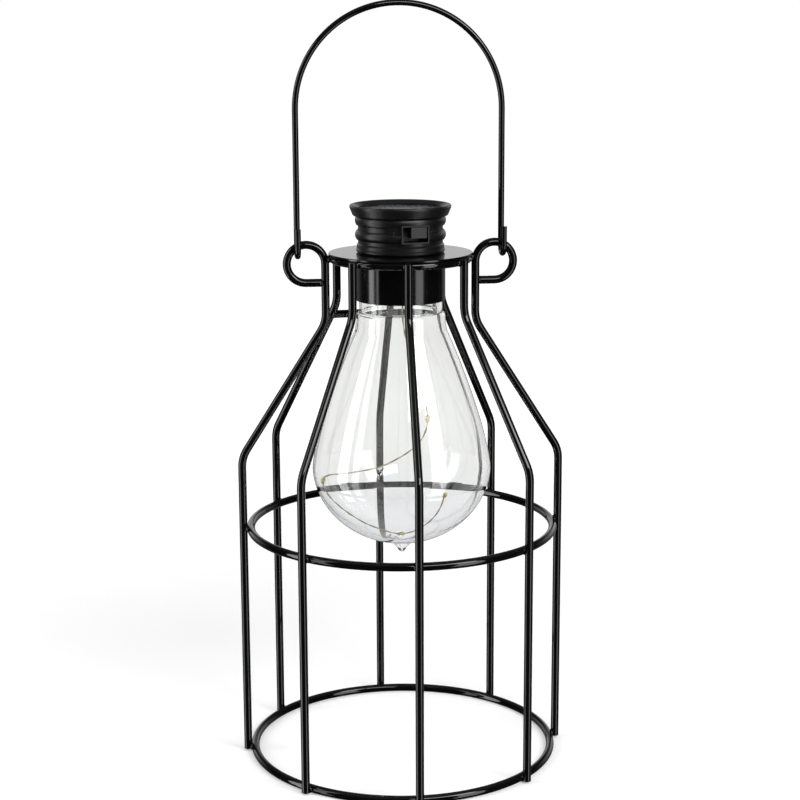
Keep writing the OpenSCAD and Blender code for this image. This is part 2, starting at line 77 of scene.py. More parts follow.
turn = np.radians(CAM_TURN)
camera = into_scene("camera", bpy.data.cameras.new("camera"))
bpy.context.scene.camera = camera
camera.location = (CAM_DISTANCE * np.sin(turn), -CAM_DISTANCE * np.cos(turn), CAM_HEIGHT)
level_view = Euler((np.radians(90 - CAM_PITCH), 0, turn)).to_matrix()
camera.rotation_euler = (level_view @ Matrix.Rotation(np.radians(CAM_ROLL), 3, "Z")).to_euler()
camera.data.lens = CAM_LENS
camera.data.sensor_width = CAM_SENSOR
camera.data.shift_x, camera.data.shift_y = CAM_SHIFT
camera.data.clip_start = CAM_NEAR
print("camera at", [round(v, 3) for v in camera.location])

# %% [markdown]
# ## Surfaces from grids
# New pieces could be shaped by hand, or from basic solids with modifiers. Here every one is a
# grid of points worked out from two parameters, because its sizes then stay exact and can be read
# in the code. A lathe turns an outline round the vertical axis, and a tube carries a round
# section along a path. The quads between neighbouring points make the mesh.

# %% Grid to mesh
def grid_faces(rows, cols, ring):
    """Quads between neighbours of a grid whose rows close on themselves.

    In a ring, the last row also joins the first.
    """
    i = np.arange(rows if ring else rows - 1)[:, None]
    j = np.arange(cols)[None, :]
    next_i, next_j = (i + 1) % rows, (j + 1) % cols
    corners = [i * cols + j, i * cols + next_j, next_i * cols + next_j, next_i * cols + j]
    return np.stack(corners, axis=-1).reshape(-1, 4)


def solid_from(name, tubes, body, replaced=(), rings=()):
    """One smooth closed mesh from grids of points; it rides a body and may replace nodes.

    A tube gets a face over each of its two ends. A ring has no ends.
    """
    points, faces, start = [], [], 0
    for grid, ring in [*((g, True) for g in rings), *((g, False) for g in tubes)]:
        rows, cols = grid.shape[:2]
        points.append(grid.reshape(-1, 3))
        faces += (grid_faces(rows, cols, ring) + start).tolist()
        if not ring:
            first_row = np.arange(cols) + start
            faces += [first_row[::-1].tolist(), (first_row + (rows - 1) * cols).tolist()]
        start += rows * cols
    mesh = bpy.data.meshes.new(name)
    mesh.from_pydata(np.concatenate(points).tolist(), [], faces)
    mesh.polygons.foreach_set("use_smooth", np.ones(len(mesh.polygons), bool))
    mesh.validate()
    piece = into_scene(name, mesh)
    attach(piece, body)
    if replaced:
        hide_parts(*replaced)
    print(f"{name}: {start} points, rides on {body}")
    return piece


print("quads of a tube with 3 rows of 4 points:", len(grid_faces(3, 4, False)))

# %% Lathe and tube
Y_AXIS, Z_AXIS = np.array([0.0, 1.0, 0.0]), np.array([0.0, 0.0, 1.0])


def whole_turn(steps):
    """Equal angles round a full turn, up to one step before it closes."""
    return np.linspace(0, 2 * np.pi, steps, endpoint=False)


def end_to_end(steps):
    """Numbers from -1 to 1, closer together towards both ends: the sine of equal angles."""
    return np.sin(np.linspace(-np.pi / 2, np.pi / 2, steps))


def lathe(outline, steps):
    """Each outline point (r, z) goes round the vertical axis: x = r cos(a), y = r sin(a)."""
    angle = whole_turn(steps)
    r, z = outline[:, 0, None], outline[:, 1, None]
    return np.stack([r * np.cos(angle), r * np.sin(angle), z + 0 * angle], axis=-1)


def frames_along(path, across):
    """Heading of a path, the part of a fixed direction that is square to it, and their cross."""
    heading = np.gradient(path, axis=0)
    heading /= np.linalg.norm(heading, axis=1, keepdims=True)
    side = across - (heading @ across)[:, None] * heading
    side /= np.linalg.norm(side, axis=1, keepdims=True)
    return heading, side, np.cross(heading, side)


def tube(path, radius, steps, across=Y_AXIS):
    """Circle carried along a path, square to its heading; one radius, or one for each point.

    The fixed direction across must never lie along the path.
    """
    _, side, up = frames_along(path, across)
    angle = whole_turn(steps)[None, :, None]
    r = np.broadcast_to(np.asarray(radius, float), (len(path),))[:, None, None]
    return path[:, None] + r * (np.cos(angle) * side[:, None] + np.sin(angle) * up[:, None])


print("points of a lathe with 2 outline points and 6 steps:", lathe(np.eye(2), 6).shape[:2])

# %% [markdown]
# ## Light string
# The lights hang on a thin twin wire: two lacquered copper strands that lie side by side in a
# slow twist. It leaves the cap through the grommet and falls into the bulb in loose curves. A
# curve with a round bevel would be a single strand. Two tubes that wind round one route show the
# pair, and the route repeats the points of the solid's route.

# %% Route of the light string
ROUTE = MM * np.array([
    [0, -9, 232.2], [0.5, -8.5, 218], [6, -3, 195.4], [12, 2, 178.2], [13.6, 4, 169.2],
    [12.4, 5.2, 161.8], [8.6, 5.6, 155.8], [1, 5.2, 150.2], [-11, 4.4, 145], [-26, 3, 142.8],
    [-35.8, 1.6, 142.4], [-39.2, -1.4, 140.6], [-38, -5.6, 136.2], [-33.6, -8.8, 131],
    [-26.2, -10, 125], [-16, -9.4, 118.6], [-1, -6, 112.8], [11, 1, 114.2], [19.6, 9, 119.4],
    [24, 16, 126.4]])
BEADS = MM * np.array([[13.6, 4, 169.2], [-39.2, -1.4, 140.6], [-1, -6, 112.8], [24, 16, 126.4]])
STRING_D = 0.8 * MM
ROUTE_STEPS = 24


def smooth_route(points, steps):
    """Between two points, a cubic curve whose slopes follow the neighbours on either side."""
    p = np.concatenate([points[:1], points, points[-1:]])
    a, b, c, d = (p[k:len(p) - 3 + k, None] for k in range(4))
    t = np.linspace(0, 1, steps, endpoint=False)[None, :, None]
    square, cube = 2 * a - 5 * b + 4 * c - d, 3 * b - a - 3 * c + d
    q = 0.5 * (2 * b + (c - a) * t + square * t ** 2 + cube * t ** 3)
    return np.concatenate([q.reshape(-1, 3), points[-1:]])


route = smooth_route(ROUTE, ROUTE_STEPS)
run = np.concatenate([[0], np.cumsum(np.linalg.norm(np.diff(route, axis=0), axis=1))])
print("length of the light string:", round(run[-1], 4), "m")

# %% Twin strands of the light string
STRAND_R = STRING_D / 4
STRAND_SIDES = 8
TWIST = 14 * MM


def strand(offset):
    """Thin tube round the route at a quarter of the string's width, one turn per twist length."""
    _, side, up = frames_along(route, Y_AXIS)
    phase = (2 * np.pi * run / TWIST + offset)[:, None]
    wound = route + STRAND_R * (np.cos(phase) * side + np.sin(phase) * up)
    return tube(wound, STRAND_R, STRAND_SIDES)


light_string = solid_from("light_string", [strand(0), strand(np.pi)],
                          "solar_cap", ["led_string"])

# %% [markdown]
# ## Lights on the string
# Each light is a tiny yellow chip in a drop of clear resin, drawn out along the wire. A stretched
# sphere would be too pointed. A lathe shape laid along the string's heading takes a power that
# sets how full it is: a low one gives the drop, and a high one the blunt chip inside.

# %% Resin drops and chips
DROP_ROWS, DROP_SIDES, DROP_END_R = 28, 20, 1e-6
DROP_SHAPE = 2.0 * MM, 1.35 * MM, 2.2
CHIP_SHAPE = 0.9 * MM, 0.62 * MM, 6.0


def drop(centre, heading, half_length, radius, power):
    """Drop along a heading: its radius falls as (1 - |u|^power)^(1/2), with u from -1 to 1."""
    u = end_to_end(DROP_ROWS)
    r = radius * np.sqrt(np.clip(1 - np.abs(u) ** power, 0, None)) + DROP_END_R
    return tube(centre + half_length * u[:, None] * heading, r, DROP_SIDES)


headings = frames_along(route, Y_AXIS)[0]
nearest = np.argmin(np.linalg.norm(route[None] - BEADS[:, None], axis=2), axis=1)
seats = list(zip(BEADS, headings[nearest]))
light_drops = solid_from("light_drops", [drop(*seat, *DROP_SHAPE) for seat in seats],
                         "solar_cap", ["led_beads"])
light_chips = solid_from("light_chips", [drop(*seat, *CHIP_SHAPE) for seat in seats],
                         "solar_cap")

# %% [markdown]
# ## Bulb
# The bulb is blown glass: a round bowl with a drawn, hollow tip, a long taper up to a small round
# shoulder, and a neck for the cap's plug. It could be a rough outline with subdivision, but a fine
# lathe outline keeps the sizes and gives clean reflections. The wall is closed, with an inner and
# an outer face, so that light bends in it as in the real wall.

# %% Curves of the bulb
BULB_R, WIDE_Z, BOWL_H, WALL = 44.2, 146.5, 38.3, 1.3
SHOULDER_R, SHOULDER_Z, NECK_R, NECK_TOP = 21.9, 221.5, 20.4, 252.0
BOWL_POWER, FLARE, POWER = 1.9, 0.0614, 1.386
TIP_H, TIP_R = 6.0, 7.2
THROAT_R = SHOULDER_R + 0.7
NECK_IN_R = NECK_R - WALL - 0.2
throat_len = ((BULB_R - THROAT_R) / FLARE) ** (1 / POWER)
throat_z = WIDE_Z + throat_len
tip_z = WIDE_Z - BOWL_H


def bowl(t, inset):
    """Bowl below the widest place: r = R (1 - t^1.9)^(1/2), while the depth grows with t."""
    r = (BULB_R - inset) * np.sqrt(1 - t ** BOWL_POWER)
    return np.stack([r, WIDE_Z - t * (BOWL_H - inset)], axis=1)


def taper(t, inset):
    """Taper above the widest place: r falls with a power of the height."""
    r = BULB_R - inset - FLARE * (t * throat_len) ** POWER
    return np.stack([r, WIDE_Z + t * throat_len], axis=1)


def rounded(points, rounds=3):
    """Corners of an outline softened by cutting off a quarter at each side, again and again."""
    p = np.asarray(points, float)
    for _ in range(rounds):
        a, b = p[:-1], p[1:]
        cuts = np.stack([0.75 * a + 0.25 * b, 0.25 * a + 0.75 * b], 1).reshape(-1, 2)
        p = np.concatenate([p[:1], cuts, p[-1:]])
    return p


print("bulb: bowl from", round(tip_z, 1), "mm, throat at", round(throat_z, 1), "mm")

# %% Outline of the bulb
BOWL_ROWS, TAPER_ROWS, BULB_STEPS = 80, 90, 160
POLE_R = 0.05

depth = np.sin(np.linspace(np.pi / 2, 0, BOWL_ROWS))[:-1]
rise = np.linspace(0, 1, TAPER_ROWS)
outer_bowl = bowl(depth, 0)
outer_bowl = outer_bowl[outer_bowl[:, 0] > TIP_R]
inner_bowl = bowl(depth[::-1], WALL)
inner_bowl = inner_bowl[inner_bowl[:, 0] > TIP_R - WALL]
# corners of the outline (radius, height), up the outside from the tip and down again inside
tip = rounded([
    [POLE_R, tip_z - TIP_H], [1.2, tip_z - 0.92 * TIP_H], [2.6, tip_z - 0.6 * TIP_H],
    [0.7 * TIP_R, tip_z - 0.1 * TIP_H], outer_bowl[0]])
neck = rounded([
    [THROAT_R - 0.1, throat_z + 0.5], [SHOULDER_R, SHOULDER_Z - 2], [SHOULDER_R, SHOULDER_Z + 1],
    [SHOULDER_R - 0.6, SHOULDER_Z + 2.4], [NECK_R, SHOULDER_Z + 3.1], [NECK_R, SHOULDER_Z + 4.5],
    [NECK_R, NECK_TOP], [NECK_R - 0.4, NECK_TOP + 0.3], [NECK_IN_R + 0.3, NECK_TOP + 0.3],
    [NECK_IN_R, NECK_TOP], [NECK_IN_R, SHOULDER_Z + 4.2], [NECK_IN_R, SHOULDER_Z + 2.9],
    [SHOULDER_R - WALL - 0.6, SHOULDER_Z + 2], [SHOULDER_R - WALL, SHOULDER_Z + 0.8],
    [SHOULDER_R - WALL, SHOULDER_Z - 2], [THROAT_R - WALL - 0.1, throat_z + 0.5]])
hollow = rounded([
    inner_bowl[-1], [0.62 * TIP_R - WALL, tip_z + 0.04 * TIP_H], [1.3, tip_z - 0.44 * TIP_H],
    [POLE_R, tip_z - 0.66 * TIP_H]])
outline = np.concatenate([tip[:-1], outer_bowl, taper(rise, 0), neck,
                          taper(rise, WALL)[::-1], inner_bowl[:-1], hollow])
bulb_glass = solid_from("bulb_glass", [MM * lathe(outline, BULB_STEPS)],
                        "cage", ["bulb"])

# %% [markdown]
# ## Screw thread
# The cap's plug screws into the bulb's neck. A moulded thread of this size is a round ridge on a
# helix, one on the plug and one in the neck, half a pitch apart. A screw modifier could wind it,
# but a tube along a helix can also fade out at both ends. The ridges stay apart when the cap
# turns, because it rises along the same helix.

# %% Threads of the plug and the neck
THREAD_LEAD, THREAD_TURNS = 3.0, 3.5
PLUG_R, RIDGE_R = 18.3, 0.4
PLUG_THREAD_Z, NECK_THREAD_Z = 238.0, 239.5
RIDGE_STEPS, RIDGE_SIDES = 72, 10
FADE_ANGLE, FADE_LEFT = 0.5, 0.05


def ridge(r, low_z):
    """Round ridge on a right-hand helix: x = r cos(a), y = r sin(a), z rises a lead per turn."""
    a = np.linspace(0, 2 * np.pi * THREAD_TURNS, int(RIDGE_STEPS * THREAD_TURNS))
    path = np.stack([r * np.cos(a), r * np.sin(a), low_z + THREAD_LEAD * a / (2 * np.pi)], axis=1)
    fade = np.clip(np.minimum(a, a[-1] - a) / FADE_ANGLE, FADE_LEFT, 1.0)
    return MM * tube(path, RIDGE_R * fade, RIDGE_SIDES, Z_AXIS)


plug_thread = solid_from("plug_thread", [ridge(PLUG_R, PLUG_THREAD_Z)], "solar_cap")
neck_thread = solid_from("neck_thread", [ridge(NECK_IN_R, NECK_THREAD_Z)], "cage")

# %% [markdown]
# ## Welds
# Each upright is resistance-welded to the rings: the wires melt together where they cross, and a
# little metal is squeezed out round the spot. Joining the wires with a boolean and a bevel would
# change exact pieces. A flattened round bead at each crossing gives the same soft corner. The
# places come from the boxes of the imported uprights: the corner far from the axis is the foot of
# the wire, and the near one is its top.

# %% Weld beads
WIRE_R = 2.0 * MM
UPRIGHTS = ["upright_front_left", "upright_front", "upright_front_right", "upright_back_right",
            "upright_back", "upright_back_left", "eye_upright_left", "eye_upright_right"]
BEAD_HALF = MM * np.array([1.25, 2.4, 1.95])
BEAD_ROWS, BEAD_SIDES, BEAD_SINK = 13, 20, 0.1 * MM
EYE_END_X, EYE_END_Z = 38.6 * MM, 239.1 * MM


def middle_of(name):
    """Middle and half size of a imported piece's box."""
    low, high = (np.array(v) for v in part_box(name))
    return (low + high) / 2, (high - low) / 2


def weld_bead(r, angle, z):
    """Ellipsoid on a crossing: thin along the radius, rounder along the two wires."""
    out = np.array([np.cos(angle), np.sin(angle), 0])
    side = np.array([-np.sin(angle), np.cos(angle), 0])
    u = np.linspace(-np.pi / 2, np.pi / 2, BEAD_ROWS)[1:-1, None, None]
    v = whole_turn(BEAD_SIDES)[None, :, None]
    flat = np.cos(u) * (BEAD_HALF[0] * np.cos(v) * out + BEAD_HALF[1] * np.sin(v) * side)
    return r * out + flat + (z + BEAD_HALF[2] * np.sin(u)) * Z_AXIS


def end_angle(name, top):
    """Direction of an upright's foot or top, from its box's corner far from or near the axis."""
    low, high = (np.array(v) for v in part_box(name))
    far, near = np.where(np.abs(high) > np.abs(low), (high, low), (low, high))
    x, y = (near + np.sign(far) * WIRE_R if top else far - np.sign(far) * WIRE_R)[:2]
    return np.arctan2(y, x)


beads = []
for ring in ("base_ring", "middle_ring", "top_ring"):
    centre, half = middle_of(ring)
    angles = [end_angle(name, ring == "top_ring") for name in UPRIGHTS]
    beads += [weld_bead(half[0] - BEAD_SINK, angle, centre[2]) for angle in angles]
beads += [weld_bead(EYE_END_X, angle, EYE_END_Z) for angle in (0, np.pi)]
weld_beads = solid_from("weld_beads", beads, "cage")

# %% [markdown]
# ## Switch marks
# Beside the switch window the mould leaves two low relief marks, a bar for on and a ring for off.
# They could be painted by the material, but raised marks catch the light, so they are shapes.
# They are computed flat and then laid on the cap's round pad.

# %% Marks on the pad
PAD_R, SWITCH_TURN, MARK_Z = 21.65, np.radians(13), 264.2
MARK_AT, MARK_R, MARK_LINE, MARK_SIDES = 10.2, 1.15, 0.3, 12
RING_TALL, RING_STEPS = 1.3, 40
BAR_HALF, BAR_ROWS, BAR_POWER, BAR_END = 1.6, 24, 8, 0.0004


def on_pad(across, z, lift):
    """Flat coordinates laid on the pad: the distance across becomes an angle round the cap."""
    angle = SWITCH_TURN + across / PAD_R
    r = PAD_R + lift
    places = np.broadcast_arrays(r * np.sin(angle), -r * np.cos(angle), z)
    return MM * np.stack(places, axis=-1)


around = whole_turn(RING_STEPS)[None, :]
section = whole_turn(MARK_SIDES)[:, None]
loop = MARK_R + MARK_LINE * np.cos(section)
off_ring = on_pad(MARK_AT + loop * np.cos(around), MARK_Z + RING_TALL * loop * np.sin(around),
                  MARK_LINE * np.sin(section))
length = end_to_end(BAR_ROWS)[:, None]
line = MARK_LINE * np.sqrt(np.clip(1 - np.abs(length) ** BAR_POWER, BAR_END, None))
on_bar = on_pad(-MARK_AT + line * np.cos(section.T), MARK_Z + BAR_HALF * length,
                -line * np.sin(section.T))
switch_marks = solid_from("switch_marks", [on_bar], "solar_cap", rings=[off_ring])

# %% [markdown]
# ## Cover screws
# Two small screws hold the cover under the plug. Each has a round head with a pressed cross, and a
# rolled thread. Cutting the cross out of a cylinder would leave hard, unlit edges, so both follow
# from one grid: the head's face sinks where a point is near one of two crossed lines, and the
# shank's radius is a wave of the height and the angle.

# %% Screws with a cross
SCREW_AT, HEAD_LOW, HEAD_TOP, SCREW_TOP = 15.0, 232.3, 233.2, 240.8
HEAD_R, SHANK_R, SCREW_PITCH, SCREW_CUT = 1.8, 0.9, 0.7, 0.16
HEAD_CROWN, CROWN_POWER, HEAD_POLE = 0.3, 6, 0.02
CROSS_W, CROSS_L, CROSS_DEEP = 0.2, 0.95, 0.5
CROSS_W_SOFT, CROSS_L_SOFT = 0.06, 0.08
SCREW_STEPS, FACE_ROWS, SHANK_ROWS = 72, 28, 90


def inside(value, edge, soft):
    """1 well inside an edge, 0 well outside it, and a smooth cubic fall between."""
    t = np.clip((value - (edge - soft)) / (2 * soft), 0, 1)
    return 1 - t * t * (3 - 2 * t)


def screw(side):
    """Screw with its head down, in rows from the middle of its face to the tip of its shank."""
    angle = whole_turn(SCREW_STEPS)[None, :]
    share = np.linspace(HEAD_POLE, 1, FACE_ROWS)[:, None]
    x, y = np.abs(HEAD_R * share * np.cos(angle)), np.abs(HEAD_R * share * np.sin(angle))
    slots = [inside(u, CROSS_W, CROSS_W_SOFT) * inside(v, CROSS_L, CROSS_L_SOFT)
             for u, v in ((x, y), (y, x))]
    face_z = HEAD_LOW + HEAD_CROWN * share ** CROWN_POWER + CROSS_DEEP * np.maximum(*slots)
    height = np.linspace(HEAD_TOP, SCREW_TOP, SHANK_ROWS)[:, None]
    wave = 0.5 + 0.5 * np.cos(2 * np.pi * (height - HEAD_TOP) / SCREW_PITCH - angle)
    r = np.concatenate([HEAD_R * share + 0 * angle, HEAD_R + 0 * angle, SHANK_R - SCREW_CUT * wave])
    z = np.concatenate([face_z, HEAD_TOP + 0 * angle, height + 0 * angle])
    return MM * np.stack([r * np.cos(angle), side * SCREW_AT + r * np.sin(angle), z], axis=-1)


cross_screws = solid_from("cross_screws", [screw(side) for side in (-1, 1)],
                          "solar_cap", ["cover_screws"])

# %% [markdown]
# ## Shader maths
# A finish is a small network of nodes, which could be wired by hand in the editor. This class
# wraps one output of such a network, so that a pattern can be written as ordinary arithmetic:
# each operation adds the Math node that does it. The patterns read Object coordinates, which need
# no unwrapping and move with the piece.

# %% Sockets as numbers
class Tone:
    """One output of a node network; arithmetic adds Math nodes, and node() adds any other."""

    def __init__(self, tree, socket=None):
        self.tree, self.socket = tree, socket

    def node(self, kind, settings=None, inputs=None, out=0):
        """Adds a node: first its settings, then a value or a link for each input."""
        made = self.tree.nodes.new(kind)
        for key, value in (settings or {}).items():
            setattr(made, key, value)
        for key, value in (inputs or {}).items():
            if isinstance(value, Tone):
                self.tree.links.new(value.socket, made.inputs[key])
            else:
                made.inputs[key].default_value = value
        return Tone(self.tree, made.outputs[out])

    def sibling(self, out):
        """Another output of the same node."""
        return Tone(self.tree, self.socket.node.outputs[out])

    def math(self, operation, a, b=0.0):
        """Math node on two numbers or tones."""
        return self.node("ShaderNodeMath", {"operation": operation}, {0: a, 1: b})

    def __add__(self, other): return self.math("ADD", self, other)
    def __radd__(self, other): return self.math("ADD", other, self)
    def __sub__(self, other): return self.math("SUBTRACT", self, other)
    def __rsub__(self, other): return self.math("SUBTRACT", other, self)
    def __mul__(self, other): return self.math("MULTIPLY", self, other)
    def __rmul__(self, other): return self.math("MULTIPLY", other, self)
    def __lt__(self, other): return self.math("LESS_THAN", self, other)
    def __mod__(self, other): return self.math("FLOORED_MODULO", self, other)
    def __abs__(self): return self.math("ABSOLUTE", self)


# %% Patterns that the finishes share
GRAIN_ROUGH = 0.55
MIX_FACTOR, MIX_A, MIX_B, MIX_RESULT = 0, 6, 7, 2  # a Mix node's sockets when it mixes colours


def place_of(tone):
    """Object coordinates of the surface point, in metres."""
    return tone.node("ShaderNodeTexCoord", out="Object")


def parts_of(here):
    """The x, y and z of a place."""
    x = here.node("ShaderNodeSeparateXYZ", inputs={0: here})
    return x, x.sibling(1), x.sibling(2)


def grain(here, scale, detail=3.0):
    """Soft noise between 0 and 1 with the given number of cells in a metre."""
    return here.node("ShaderNodeTexNoise", inputs={
        "Vector": here, "Scale": scale, "Detail": detail, "Roughness": GRAIN_ROUGH})


def drawn_grain(here, sizes, detail=3.0):
    """Noise with different numbers of cells along X, Y and Z, for drawn or brushed patterns."""
    stretched = here.node("ShaderNodeMapping", inputs={"Vector": here, "Scale": sizes})
    return grain(stretched, 1.0, detail)


def band(value, low, high):
    """Soft step from 0 at low to 1 at high."""
    return value.node("ShaderNodeMapRange", {"interpolation_type": "SMOOTHSTEP"},
                      {"Value": value, "From Min": low, "From Max": high})


def larger(a, b):
    """The larger of two tones."""
    return a.math("MAXIMUM", a, b)


def mixed(factor, a, b):
    """Colour between a and b, which are tones or plain colours."""
    a, b = (colour if isinstance(colour, Tone) else (*colour, 1.0) for colour in (a, b))
    return factor.node("ShaderNodeMix", {"data_type": "RGBA"},
                       {MIX_FACTOR: factor, MIX_A: a, MIX_B: b}, out=MIX_RESULT)


# %% One finish
def finish(name, pattern, **fixed):
    """Material with fixed inputs, and with the changing ones that pattern(place) returns by name.

    "height" and "depth" among them make a bump.
    """
    material = bpy.data.materials.new(name)
    material.use_nodes = True
    tree = material.node_tree
    shader = tree.nodes["Principled BSDF"]
    for key, value in fixed.items():
        shader.inputs[key.replace("_", " ")].default_value = value
    inputs = pattern(place_of(Tone(tree)))
    height, depth = inputs.pop("height", None), inputs.pop("depth", 0.0)
    if height is not None:
        inputs["Normal"] = height.node("ShaderNodeBump", inputs={
            "Height": height, "Distance": depth, "Strength": 1.0})
    for key, value in inputs.items():
        tree.links.new(value.socket, shader.inputs[key])
    return material


def dress(material, *pieces):
    """Gives a material to pieces, named or as objects."""
    for piece in pieces:
        mesh = (nodes[piece] if isinstance(piece, str) else piece).data
        mesh.materials.clear()
        mesh.materials.append(material)
    print(f"{material.name}: {len(pieces)} pieces")


# %% [markdown]
# ## Black paint on the wires
# The cage is dipped in gloss black paint. One black and one roughness would look like plastic.
# The paint is nearly black, with a faint orange peel and slightly duller patches, both from noise,
# and with small scuffs where the base ring stands on the ground, which a height limit keeps there.

# %% Gloss black paint
WIRES = ["base_ring", "middle_ring", "top_ring", "back_brace", *UPRIGHTS]
PAINT_BLACKS = (0.0012, 0.0012, 0.0013), (0.003, 0.003, 0.0032)
SCUFF_COLOUR = 0.05, 0.05, 0.05
SCUFF_FULL_Z, SCUFF_END_Z = 0.4 * MM, 2.2 * MM


def black_paint(here):
    """Two blacks mixed by soft patches, scuffed where fine noise is high and the height is low."""
    _, _, z = parts_of(here)
    patches = grain(here, 90.0)
    peel = grain(here, 700.0, 2.0)
    scuff = band(grain(here, 1500.0, 4.0), 0.6, 0.72) * (1 - band(z, SCUFF_FULL_Z, SCUFF_END_Z))
    return {"Base Color": mixed(scuff, mixed(patches, *PAINT_BLACKS), SCUFF_COLOUR),
            "Roughness": 0.03 + 0.06 * patches + 0.3 * scuff, "height": peel, "depth": 0.000004}


dress(finish("gloss_black_paint", black_paint, Specular_IOR_Level=0.36), *WIRES, weld_beads)

# %% [markdown]
# ## Black paint on the sheet
# The disc and the sleeve under it have the same paint. It could share the wires' material, but on
# sheet it dries a little less glossy and holds a few dust specks, so it has a pattern of its own.

# %% Sheet paint
def sheet_paint(here):
    """Two blacks mixed by soft patches, with raised specks where finer noise is high."""
    patches = grain(here, 70.0)
    dust = band(grain(here, 900.0, 2.0), 0.7, 0.78)
    return {"Base Color": mixed(patches, (0.001, 0.001, 0.0011), (0.0025, 0.0025, 0.0027)),
            "Roughness": 0.11 + 0.08 * patches + 0.1 * dust, "height": dust, "depth": 0.00003}


dress(finish("sheet_black_paint", sheet_paint, Specular_IOR_Level=0.36), "top_disc", "neck_sleeve")

# %% [markdown]
# ## Black paint on the handle
# The bail is thinner wire, pulled through a die, and faint draw marks show through its paint. They
# could be modelled as grooves, but at this size noise stretched along the bail's legs is enough.

# %% Handle paint
def handle_paint(here):
    """The wires' two blacks mixed by patches, with a bump of noise drawn out along Z."""
    draw = drawn_grain(here, (900.0, 900.0, 40.0))
    patches = grain(here, 120.0)
    return {"Base Color": mixed(patches, *PAINT_BLACKS),
            "Roughness": 0.04 + 0.06 * patches, "height": draw, "depth": 0.0000015}


dress(finish("handle_black_paint", handle_paint, Specular_IOR_Level=0.4), "bail_handle")

# %% [markdown]
# ## Clear glass
# The wall is thin, so what is behind it is hardly shifted. A plain glass shader would be too
# perfect: slight unevenness from blowing makes the long reflections waver a little. The taper
# looks a little greyer than the bowl, where more light comes through, and that is painted shade:
# the glass colour changes with height, greyer up the taper and paler and bluer on the bowl.

# %% Bulb glass
# heights between which the glass's painted shade goes from the bowl's tint to the taper's
PAINTED_SHADE_LOW_Z, PAINTED_SHADE_HIGH_Z = 105 * MM, 160 * MM


def blown_glass(here):
    """Painted shade as a tint that changes with height, a thin haze of noise, and a bump of long
    low waves.
    """
    _, _, z = parts_of(here)
    waves = drawn_grain(here, (26.0, 26.0, 9.0), 1.0)
    haze = grain(here, 60.0)
    # painted shade: the glass is greyer up the taper, and paler and bluer on the bowl
    high = band(z, PAINTED_SHADE_LOW_Z, PAINTED_SHADE_HIGH_Z)
    painted_shade_tint = mixed(high, (0.94, 0.945, 0.975), (0.865, 0.87, 0.855))
    return {"Base Color": mixed(haze, painted_shade_tint, (0.895, 0.9, 0.895)),
            "Roughness": 0.004 + 0.012 * haze, "height": waves, "depth": 0.0001}


dress(finish("clear_bulb_glass", blown_glass, Transmission_Weight=1.0, IOR=1.49),
      bulb_glass, neck_thread)

# %% [markdown]
# ## Moulded plastic of the cap
# The cap is black plastic from a spark-eroded mould: satin, with a fine even grain, and with an
# uneven sheen where hands turn it. An image of the grain would need unwrapping, and noise at the
# grain's real size does not.

# %% Cap plastic
def moulded_black(here):
    """Two blacks mixed by soft patches, with very fine noise for the grain."""
    fine = grain(here, 2600.0, 2.0)
    handled = grain(here, 140.0)
    return {"Base Color": mixed(handled, (0.003, 0.003, 0.0032), (0.006, 0.006, 0.0063)),
            "Roughness": 0.25 + 0.12 * handled + 0.05 * fine, "height": fine, "depth": 0.00003}


cap_plastic = finish("moulded_black_plastic", moulded_black, Specular_IOR_Level=0.3)
dress(cap_plastic, "cap_housing", "cap_rim", "base_cover", "battery_cradle",
      plug_thread, switch_marks)

# %% [markdown]
# ## Grey plastic of the switch
# The knob is a shade paler than the cap and worn by fingers. It gets a pattern of its own, because
# a paler copy of the cap's plastic would not show the wear.

# %% Slider plastic
def slider_grey(here):
    """Two dark greys mixed by patches of wear, with very fine noise for the grain."""
    fine = grain(here, 3200.0, 2.0)
    worn = grain(here, 420.0)
    return {"Base Color": mixed(worn, (0.014, 0.014, 0.015), (0.024, 0.024, 0.025)),
            "Roughness": 0.35 + 0.2 * worn, "height": fine, "depth": 0.00002}


dress(finish("slider_grey_plastic", slider_grey, Specular_IOR_Level=0.3),
      "switch_slider", "switch_lever")

# %% [markdown]
# ## Rubber
# The seal under the cap and the string's grommet are soft black rubber with a dusty bloom. A dark
# grey alone would look like the plastic beside it, so the bloom also roughens the surface.

# %% Rubber of the seal and the grommet
def soft_rubber(here):
    """Two dark greys, the roughness and the bump all follow one noise, the bloom."""
    bloom = grain(here, 500.0, 4.0)
    return {"Base Color": mixed(bloom, (0.014, 0.014, 0.014), (0.035, 0.034, 0.033)),
            "Roughness": 0.7 + 0.2 * bloom, "height": bloom, "depth": 0.00005}


dress(finish("soft_black_rubber", soft_rubber), "cap_seal", "string_grommet")

# %% [markdown]
# ## Solar panel
# Strips of dark blue silicon lie under a clear cover. Each strip carries hair-fine silver fingers
# across it and one wider bus line along it. They could be modelled, but they have no height to
# speak of, so the material draws them by dividing the place by their spacing. The cover is a thin
# film of low alpha, because the strips lie right under it and nothing is bent on the way.

# %% Silicon, backing and cover
FINGER_STEP, FINGER_WIDTH = 1.4 * MM, 0.12 * MM
STRIP_STEP, CELLS_EDGE, BUS_HALF = 6.267 * MM, 18.8 * MM, 0.25 * MM
COVER_ALPHA = 0.2


def silicon(here):
    """Blue facets, with silver where y or x lies within a line's width of its spacing."""
    x, y, _ = parts_of(here)
    finger = (y % FINGER_STEP) < FINGER_WIDTH
    bus = abs((x + CELLS_EDGE) % STRIP_STEP - STRIP_STEP / 2) < BUS_HALF
    silver = larger(finger, bus)
    facets = here.node("ShaderNodeTexVoronoi", inputs={"Vector": here, "Scale": 420.0}, out="Color")
    shade = facets.node("ShaderNodeSeparateColor", inputs={0: facets})
    blue = mixed(shade, (0.006, 0.01, 0.032), (0.012, 0.02, 0.06))
    return {"Base Color": mixed(silver, blue, (0.35, 0.36, 0.38)),
            "Roughness": 0.3 - 0.08 * silver, "Metallic": 0.8 * silver}


